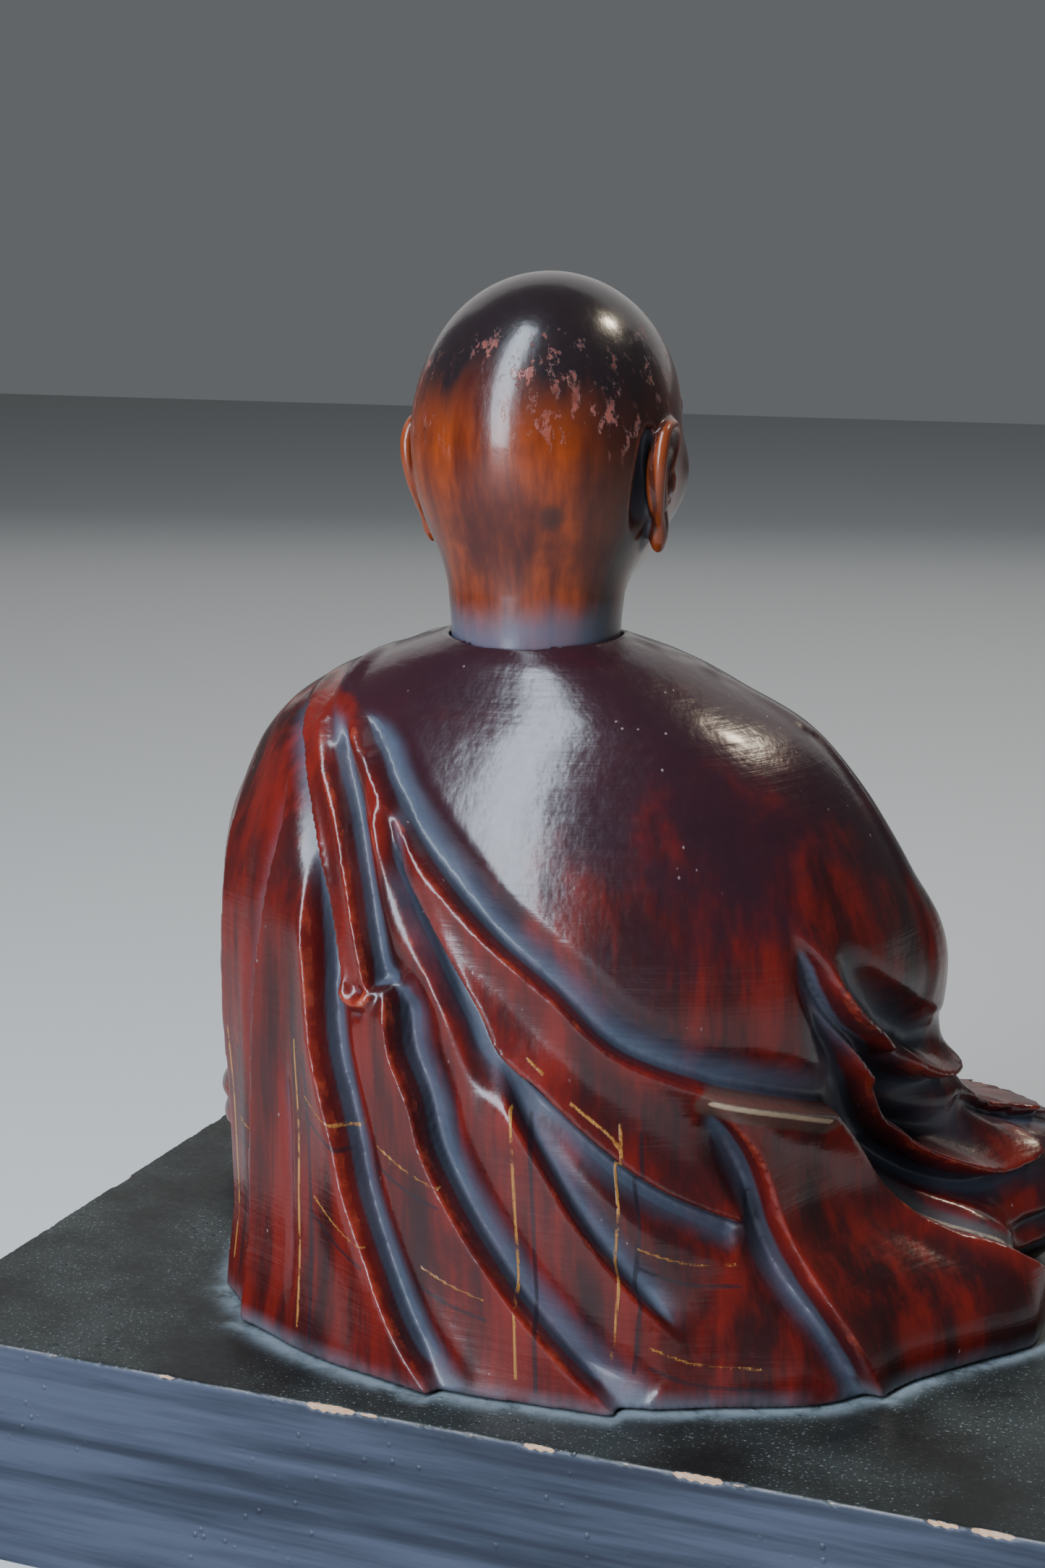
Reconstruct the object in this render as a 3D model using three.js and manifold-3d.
// Seated monk figure in joined-block carved wood, on a hollow boarded plinth.
// Units are millimetres and +Z is up. The origin is the centre of the plinth's underside,
// the figure faces -Y and its own left is +X.
import * as THREE from 'three';
import { ConvexGeometry } from 'three/addons/geometries/ConvexGeometry.js';
import { mergeVertices } from 'three/addons/utils/BufferGeometryUtils.js';
import Module from 'manifold-3d';

const wasm = await Module();
wasm.setup();

// ---------------------------------------------------------------- driving dimensions
const GAP = 0.3; // clearance between pieces that touch

const PLINTH_WIDTH = 240;
const PLINTH_DEPTH = 170;
const PLINTH_HEIGHT = 48;
const BOARD_THICKNESS = 12; // mitred side boards
const REBATE_WIDTH = 6; // ledge that the top board sits in
const TOP_THICKNESS = 7;
const CORNER_BLOCK_LEG = 16;
const CORNER_BLOCK_HEIGHT = 30;

const NECK_AXIS_X = 4.5; // the neck axis on the plinth
const NECK_AXIS_Y = 16.8;

const SEATED_HEIGHT = 212; // underside of the robe to the crown
const COLLAR_HEIGHT = 141.5; // nape edge of the robe
const SPLIT_Y = 3; // joint between the front and back trunk blocks
const SPLIT_X = 44; // joint between the trunk and the side blocks
const FRONT_SPLIT_Y = -44; // joint between the trunk and the knee and sleeve blocks in front of it
const LAP_HEIGHT = 44; // joint between the knee block and the sleeve blocks on top of it

const NECK_RADIUS = 17;
const NECK_CENTRE_Y = 3;
const SOCKET_FLOOR = 112;
const FACE_SPLIT_Y = -6; // joint between the face and the back of the head
const HOLLOW_TOP = 104;

const BASE_BOARD = { halfX: 30, front: -18, back: 34, thickness: 6 };
const PEG_RADIUS = 3;
const PEG_RISE = 11; // how far a locating peg stands into the figure
const PEG_X = 22;
const PEG_Y = 8;
const DOWEL_RADIUS = 2.5;
const DOWEL_LENGTH = 20;
const STAPLE_SPAN = 24;
const STAPLE_BAR = 2;
const STAPLE_LEG = 9;

const BIG = 400; // larger than the whole object, for half-space cuts

// ---------------------------------------------------------------- materials
const lacquer = (color) => new THREE.MeshStandardMaterial({ color, roughness: 0.45, metalness: 0 });
const finishes = {
  robe: lacquer(0x2a1c20),
  head: lacquer(0x6b3a1e),
  plinth: lacquer(0x15171b),
  bareWood: new THREE.MeshStandardMaterial({ color: 0xa9825a, roughness: 0.8, metalness: 0 }),
  iron: new THREE.MeshStandardMaterial({ color: 0x3b3431, roughness: 0.6, metalness: 0.9 }),
};

// ---------------------------------------------------------------- solids and booleans
function toSolid(geometry) {
  const bare = geometry.clone();
  bare.deleteAttribute('normal');
  bare.deleteAttribute('uv');
  const merged = mergeVertices(bare, 1e-4);
  const index = merged.index.array;
  const kept = [];
  for (let i = 0; i < index.length; i += 3) {
    const [a, b, c] = [index[i], index[i + 1], index[i + 2]];
    if (a !== b && b !== c && c !== a) kept.push(a, b, c);
  }
  return new wasm.Manifold(new wasm.Mesh({
    numProp: 3,
    vertProperties: new Float32Array(merged.attributes.position.array),
    triVerts: new Uint32Array(kept),
  }));
}

function toGeometry(solid) {
  const mesh = solid.getMesh();
  const geometry = new THREE.BufferGeometry();
  geometry.setAttribute('position', new THREE.BufferAttribute(new Float32Array(mesh.vertProperties), 3));
  geometry.setIndex(new THREE.BufferAttribute(new Uint32Array(mesh.triVerts), 1));
  geometry.computeVertexNormals();
  return geometry;
}

function join(...solids) {
  return solids.reduce((whole, next) => whole.add(next));
}

function box(low, high) {
  const size = high.map((value, axis) => value - low[axis]);
  const geometry = new THREE.BoxGeometry(...size);
  geometry.translate(...low.map((value, axis) => value + size[axis] / 2));
  return toSolid(geometry);
}

function ellipsoid([x, y, z], [rx, ry, rz], sides = 20, rings = 12) {
  const geometry = new THREE.SphereGeometry(1, sides, rings);
  geometry.rotateX(Math.PI / 2);
  geometry.scale(rx, ry, rz);
  geometry.translate(x, y, z);
  return toSolid(geometry);
}

function rod(from, to, radius, sides = 16) {
  const start = new THREE.Vector3(...from);
  const run = new THREE.Vector3(...to).sub(start);
  const geometry = new THREE.CylinderGeometry(radius, radius, run.length(), sides);
  const turn = new THREE.Quaternion().setFromUnitVectors(new THREE.Vector3(0, 1, 0), run.clone().normalize());
  geometry.applyQuaternion(turn);
  geometry.translate(...start.addScaledVector(run, 0.5).toArray());
  return toSolid(geometry);
}

// The skin stretched over a row of balls, each given as [x, y, z, radius].
function hull(balls, sides = 14, rings = 8) {
  const points = [];
  for (const [x, y, z, radius] of balls) {
    const ball = new THREE.SphereGeometry(radius, sides, rings);
    ball.rotateX(Math.PI / 2);
    ball.translate(x, y, z);
    const position = mergeVertices(ball.deleteAttribute('normal').deleteAttribute('uv')).attributes.position;
    for (let i = 0; i < position.count; i += 1) points.push(new THREE.Vector3().fromBufferAttribute(position, i));
  }
  return toSolid(new ConvexGeometry(points));
}

// A closed form through level sections { z, x, y, halfX, halfY }, rounder or squarer by its power.
function stack(sections, power = 2.3, sides = 40) {
  const last = sections.length - 1;
  const profile = [new THREE.Vector2(0, 0)];
  sections.forEach((_, level) => profile.push(new THREE.Vector2(1, level)));
  profile.push(new THREE.Vector2(0, last));
  const geometry = new THREE.LatheGeometry(profile, sides);
  geometry.rotateX(Math.PI / 2);
  const position = geometry.attributes.position;
  const squash = (value) => Math.sign(value) * Math.abs(value) ** (2 / power);
  for (let i = 0; i < position.count; i += 1) {
    const section = sections[Math.round(position.getZ(i))];
    const reach = Math.hypot(position.getX(i), position.getY(i));
    const unitX = reach > 0.5 ? position.getX(i) / reach : 0;
    const unitY = reach > 0.5 ? position.getY(i) / reach : 0;
    position.setXYZ(i, section.x + section.halfX * squash(unitX), section.y + section.halfY * squash(unitY), section.z);
  }
  return toSolid(geometry);
}

const mirrorX = (balls) => balls.map(([x, ...rest]) => [-x, ...rest]);

// ---------------------------------------------------------------- robe
function trunkForm() {
  const rows = [
    // z, x, front, back, half width
    [GAP, -2, -50, 55, 70],
    [20, -2, -47, 52, 67],
    [50, -1, -43, 50, 61],
    [80, 0, -38, 48, 57],
    [100, 0, -33, 45, 54],
    [114, 0, -28, 41, 50],
    [124, 0, -22, 36, 43],
    [132, 0, -17, 30, 33],
    [138, 0, -14, 25, 26],
    [COLLAR_HEIGHT, 0, -13, 22, 21],
  ];
  return stack(rows.map(([z, x, front, back, halfX]) => ({
    z, x, y: (front + back) / 2, halfX, halfY: (back - front) / 2,
  })));
}

function armForms() {
  return [
    hull([[43, -2, 117, 18], [53, -8, 98, 16]]),
    hull([[53, -8, 98, 16], [55, -12, 76, 16], [53, -30, 66, 13]]),
    hull([[-46, -2, 117, 18], [-60, -8, 98, 17]]),
    hull([[-60, -8, 98, 17], [-64, -12, 78, 16], [-56, -30, 66, 13]]),
    hull([[56, -28, 66, 14], [28, -56, 56, 10]]),
    hull([[-56, -28, 66, 14], [-28, -56, 56, 10]]),
  ];
}

function sleeveFalls() {
  return [
    hull([[55, -6, 76, 16], [59, -10, 10, 15], [40, 16, 10, 15], [58, -42, 40, 12]]),
    hull([[-60, -8, 76, 15], [-64, -8, 24, 15], [-58, -44, 44, 12]]),
    hull([[50, -46, 58, 9], [30, -60, 46, 8], [62, -40, 40, 8]]),
    hull([[-50, -46, 58, 9], [-30, -60, 46, 8], [-62, -40, 40, 8]]),
  ];
}

function legForms() {
  const thigh = [[34, 6, 22, 24], [76, -50, 21, 20]];
  const knee = [[82, -58, 20, 20], [58, -66, 18, 21]];
  const shin = [[60, -66, 18, 20], [0, -68, 16, 19]];
  const lap = [[40, -30, 26, 18], [-40, -30, 26, 18], [56, -58, 24, 16], [-56, -58, 24, 16]];
  const hemRight = [[-60, 22, 8, 15], [-88, -6, 6, 16], [-86, -40, 12, 18]];
  return [hull(thigh), hull(mirrorX(thigh)), hull(knee), hull(mirrorX(knee)),
    hull(shin), hull(mirrorX(shin)), hull(lap), hull(hemRight)];
}

const aboveFloor = box([-BIG, -BIG, GAP], [BIG, BIG, BIG]);
const robe = join(trunkForm(), ...armForms(), ...sleeveFalls(), ...legForms()).intersect(aboveFloor);

// ---------------------------------------------------------------- hollows, sockets and joint fittings
const neckSocket = rod([0, NECK_CENTRE_Y, SOCKET_FLOOR], [0, NECK_CENTRE_Y, BIG / 2], NECK_RADIUS + GAP, 32);
const neckline = hull([[0, -14, 152, 16], [0, -34, 138, 12]]);
const hollow = hull([[0, 4, 20, 24], [0, 4, HOLLOW_TOP - 22, 22]]);
const baseRecess = box(
  [-BASE_BOARD.halfX - GAP, BASE_BOARD.front - GAP, -BIG],
  [BASE_BOARD.halfX + GAP, BASE_BOARD.back + GAP, BASE_BOARD.thickness + GAP],
);

function dowelSeats() {
  const seats = [];
  for (const [side, x] of [['left', SPLIT_X], ['right', -SPLIT_X]]) {
    for (const [level, z] of [['upper', 92], ['lower', 30]]) {
      seats.push({ name: `side_dowel_${side}_${level}`, centre: [x, SPLIT_Y + 10, z], along: [1, 0, 0] });
    }
    const kneeX = Math.sign(x) * 34;
    seats.push({ name: `knee_dowel_${side}`, centre: [kneeX, FRONT_SPLIT_Y, 24], along: [0, 1, 0] });
  }
  return seats;
}

function dowel({ centre, along }, slack = 0) {
  const half = DOWEL_LENGTH / 2 + slack;
  const end = (sign) => centre.map((value, axis) => value + sign * half * along[axis]);
  return rod(end(-1), end(1), DOWEL_RADIUS + slack, 12);
}

function stapleSeats() {
  const seats = [];
  for (const [side, sign] of [['left', 1], ['right', -1]]) {
    seats.push({ name: `iron_staple_side_${side}`, centre: [sign * SPLIT_X, -8], alongX: true });
    seats.push({ name: `iron_staple_knee_${side}`, centre: [sign * 18, FRONT_SPLIT_Y], alongX: false });
  }
  return seats;
}

// A forged staple: a flat bar let into the underside, with a leg driven up at each end.
function staple({ centre: [x, y], alongX }, slack = 0) {
  const reach = STAPLE_SPAN / 2 + slack;
  const thin = STAPLE_BAR / 2 + slack;
  const [halfX, halfY] = alongX ? [reach, thin] : [thin, reach];
  const low = 1 - slack;
  const barTop = low + STAPLE_BAR + 2 * slack;
  const legTop = low + STAPLE_LEG + 2 * slack;
  const leg = STAPLE_BAR + 2 * slack;
  const pieces = [box([x - halfX, y - halfY, low], [x + halfX, y + halfY, barTop])];
  for (const end of [-1, 1]) {
    const inner = end * (reach - leg);
    const span = [Math.min(inner, end * reach), Math.max(inner, end * reach)];
    pieces.push(alongX
      ? box([x + span[0], y - thin, low], [x + span[1], y + thin, legTop])
      : box([x - thin, y + span[0], low], [x + thin, y + span[1], legTop]));
  }
  return join(...pieces);
}

const pegBores = [1, -1].map((side) => {
  const [x, top] = [side * PEG_X, PEG_RISE + 2 * GAP];
  return rod([x, PEG_Y, -5], [x, PEG_Y, top], PEG_RADIUS + GAP);
});

// ---------------------------------------------------------------- hands in meditation, right on left
function handForm(side, level) {
  const wrist = [side * 30, -55, level + 1.5, 5];
  const heel = [side * 17, -60, level + 0.6, 3.8];
  const knuckles = [-side * 3, -62, level, 3.6];
  const tips = [-side * 21, -60, level + 0.8, 2.2];
  const palm = hull([heel, knuckles, [side * 15, -68, level, 3.2], [-side * 2, -71, level, 2.8]]);
  const fingers = hull([knuckles, [-side * 2, -71, level, 2.8], tips, [-side * 17, -68, level + 0.6, 2]]);
  return join(hull([wrist, heel], 12, 8), palm, fingers);
}

const LOWER_HAND = LAP_HEIGHT + 4.5;
const UPPER_HAND = LOWER_HAND + 8;
const handLeft = handForm(1, LOWER_HAND);
const handRight = handForm(-1, UPPER_HAND);
const wristRoom = (side) => hull([[side * 33, -54, 54.5, 10.8], [side * 8, -62, LAP_HEIGHT + 8, 12]]);

// ---------------------------------------------------------------- robe blocks
const half = GAP / 2;
const behindFront = FRONT_SPLIT_Y + half;
const region = {
  trunk_back: box([-SPLIT_X + half, SPLIT_Y + half, -BIG], [SPLIT_X - half, BIG, BIG]),
  trunk_front: box([-SPLIT_X + half, behindFront, -BIG], [SPLIT_X - half, SPLIT_Y - half, BIG]),
  side_block_left: box([SPLIT_X + half, behindFront, -BIG], [BIG, BIG, BIG]),
  side_block_right: box([-BIG, behindFront, -BIG], [-SPLIT_X - half, BIG, BIG]),
  knee_block: box([-BIG, -BIG, -BIG], [BIG, FRONT_SPLIT_Y - half, LAP_HEIGHT]),
  sleeve_block_left: box([half, -BIG, LAP_HEIGHT + GAP], [BIG, FRONT_SPLIT_Y - half, BIG]),
  sleeve_block_right: box([-BIG, -BIG, LAP_HEIGHT + GAP], [-half, FRONT_SPLIT_Y - half, BIG]),
};

function robeBlocks() {
  const fittings = join(
    neckSocket, neckline, hollow, baseRecess, ...pegBores,
    ...dowelSeats().map((seat) => dowel(seat, GAP)),
    ...stapleSeats().map((seat) => staple(seat, GAP)),
  );
  const carved = robe.subtract(fittings).subtract(wristRoom(1)).subtract(wristRoom(-1));
  return Object.entries(region).map(([name, space]) => [name, carved.intersect(space)]);
}

function baseBoard() {
  const { halfX, front, back, thickness } = BASE_BOARD;
  const board = box([-halfX, front, GAP], [halfX, back, thickness]);
  return board.subtract(join(...pegBores));
}

// ---------------------------------------------------------------- head
function earForm(side) {
  const rim = hull([[side * 24.4, 1, 180, 3], [side * 24.8, 3.5, 177, 2.8], [side * 24.2, 0.5, 171, 2.4]], 10, 6);
  const lobe = hull([[side * 24.2, 0.5, 171, 2.4], [side * 23.6, -0.5, 162, 2.4]], 10, 6);
  return join(rim, lobe);
}

function headForm() {
  const cranium = ellipsoid([0, -3.5, 182.5], [25.8, 30, SEATED_HEIGHT - 182.5], 28, 18);
  const jaw = hull([[0, -19, 161, 12], [12, -8, 166, 11], [-12, -8, 166, 11], [0, -10, 178, 20]]);
  const nose = hull([[0, -33, 183, 1.6], [0, -36.5, 172.5, 2.2], [2.6, -34, 171.5, 2], [-2.6, -34, 171.5, 2]], 8, 6);
  const brow = hull([[11, -29, 186, 3], [-11, -29, 186, 3], [0, -31, 187, 3]], 8, 6);
  const lips = hull([[5, -32, 164.5, 1.8], [-5, -32, 164.5, 1.8], [0, -33.5, 164.5, 2]], 8, 6);
  const neck = rod([0, NECK_CENTRE_Y, SOCKET_FLOOR + GAP], [0, NECK_CENTRE_Y, 172], NECK_RADIUS, 32);
  return join(cranium, jaw, nose, brow, lips, neck, earForm(1), earForm(-1));
}

const facePins = [1, -1].map((side) => ({
  name: `face_pin_${side > 0 ? 'left' : 'right'}`,
  centre: [side * 11, FACE_SPLIT_Y, 184],
  along: [0, 1, 0],
}));

function headBlocks() {
  const pins = facePins.map((seat) => dowel(seat, GAP));
  const head = headForm().subtract(join(...pins));
  return [
    ['head_back', head.intersect(box([-BIG, FACE_SPLIT_Y + half, -BIG], [BIG, BIG, BIG]))],
    ['head_face', head.intersect(box([-BIG, -BIG, -BIG], [BIG, FACE_SPLIT_Y - half, BIG]))],
  ];
}

// ---------------------------------------------------------------- plinth
function topBoard() {
  const halfX = PLINTH_WIDTH / 2 - REBATE_WIDTH - GAP;
  const halfY = PLINTH_DEPTH / 2 - REBATE_WIDTH - GAP;
  const board = box([-halfX, -halfY, PLINTH_HEIGHT - TOP_THICKNESS], [halfX, halfY, PLINTH_HEIGHT]);
  return board.subtract(join(...pegs(GAP).map(([, peg]) => peg)));
}

// One mitred board, lying along X at the back and turned about Z to its own side.
function sideBoard(length, reach, turn) {
  const end = length / 2 - half;
  const outline = new THREE.Shape([
    new THREE.Vector2(-end, reach),
    new THREE.Vector2(-end + BOARD_THICKNESS, reach - BOARD_THICKNESS),
    new THREE.Vector2(end - BOARD_THICKNESS, reach - BOARD_THICKNESS),
    new THREE.Vector2(end, reach),
  ]);
  const geometry = new THREE.ExtrudeGeometry(outline, { depth: PLINTH_HEIGHT, bevelEnabled: false });
  geometry.rotateZ(turn);
  const rebate = box(
    [-PLINTH_WIDTH / 2 + REBATE_WIDTH, -PLINTH_DEPTH / 2 + REBATE_WIDTH, PLINTH_HEIGHT - TOP_THICKNESS - GAP],
    [PLINTH_WIDTH / 2 - REBATE_WIDTH, PLINTH_DEPTH / 2 - REBATE_WIDTH, BIG],
  );
  return toSolid(geometry).subtract(rebate);
}

function cornerBlock(signX, signY) {
  const x = signX * (PLINTH_WIDTH / 2 - BOARD_THICKNESS - GAP);
  const y = signY * (PLINTH_DEPTH / 2 - BOARD_THICKNESS - GAP);
  const outline = new THREE.Shape([
    new THREE.Vector2(x, y),
    new THREE.Vector2(x - signX * CORNER_BLOCK_LEG, y),
    new THREE.Vector2(x, y - signY * CORNER_BLOCK_LEG),
  ]);
  const geometry = new THREE.ExtrudeGeometry(outline, { depth: CORNER_BLOCK_HEIGHT, bevelEnabled: false });
  geometry.translate(0, 0, PLINTH_HEIGHT - TOP_THICKNESS - 2 * GAP - CORNER_BLOCK_HEIGHT);
  return toSolid(geometry);
}

function pegs(slack = 0) {
  return [['left', 1], ['right', -1]].map(([side, sign]) => {
    const x = NECK_AXIS_X + sign * PEG_X;
    const y = NECK_AXIS_Y + PEG_Y;
    const foot = PLINTH_HEIGHT - TOP_THICKNESS - 3 - slack;
    return [`locating_peg_${side}`, rod([x, y, foot], [x, y, PLINTH_HEIGHT + PEG_RISE], PEG_RADIUS + slack)];
  });
}

// ---------------------------------------------------------------- assembly
function piece(name, solid, material) {
  const mesh = new THREE.Mesh(toGeometry(solid), material.clone());
  mesh.name = name;
  return mesh;
}

const plinth = new THREE.Group();
plinth.add(piece('plinth_top_board', topBoard(), finishes.plinth));
const boardRuns = [
  ['back', PLINTH_WIDTH, PLINTH_DEPTH / 2, 0],
  ['front', PLINTH_WIDTH, PLINTH_DEPTH / 2, Math.PI],
  ['left', PLINTH_DEPTH, PLINTH_WIDTH / 2, -Math.PI / 2],
  ['right', PLINTH_DEPTH, PLINTH_WIDTH / 2, Math.PI / 2],
];
for (const [side, length, reach, turn] of boardRuns) {
  plinth.add(piece(`plinth_${side}_board`, sideBoard(length, reach, turn), finishes.plinth));
}
for (const [corner, signX, signY] of [
  ['back_left', 1, 1], ['back_right', -1, 1], ['front_left', 1, -1], ['front_right', -1, -1],
]) {
  plinth.add(piece(`corner_block_${corner}`, cornerBlock(signX, signY), finishes.bareWood));
}
for (const [name, peg] of pegs()) plinth.add(piece(name, peg, finishes.bareWood));

const figure = new THREE.Group();
figure.position.set(NECK_AXIS_X, NECK_AXIS_Y, PLINTH_HEIGHT);
for (const [name, block] of robeBlocks()) figure.add(piece(name, block, finishes.robe));
figure.add(piece('hand_left', handLeft, finishes.head));
figure.add(piece('hand_right', handRight, finishes.head));
figure.add(piece('base_board', baseBoard(), finishes.bareWood));
for (const seat of dowelSeats()) figure.add(piece(seat.name, dowel(seat), finishes.bareWood));
for (const seat of stapleSeats()) figure.add(piece(seat.name, staple(seat), finishes.iron));

const head = new THREE.Group();
for (const [name, block] of headBlocks()) head.add(piece(name, block, finishes.head));
for (const seat of facePins) head.add(piece(seat.name, dowel(seat), finishes.bareWood));
figure.add(head);

const statue = new THREE.Group();
statue.add(plinth, figure);

export default statue;
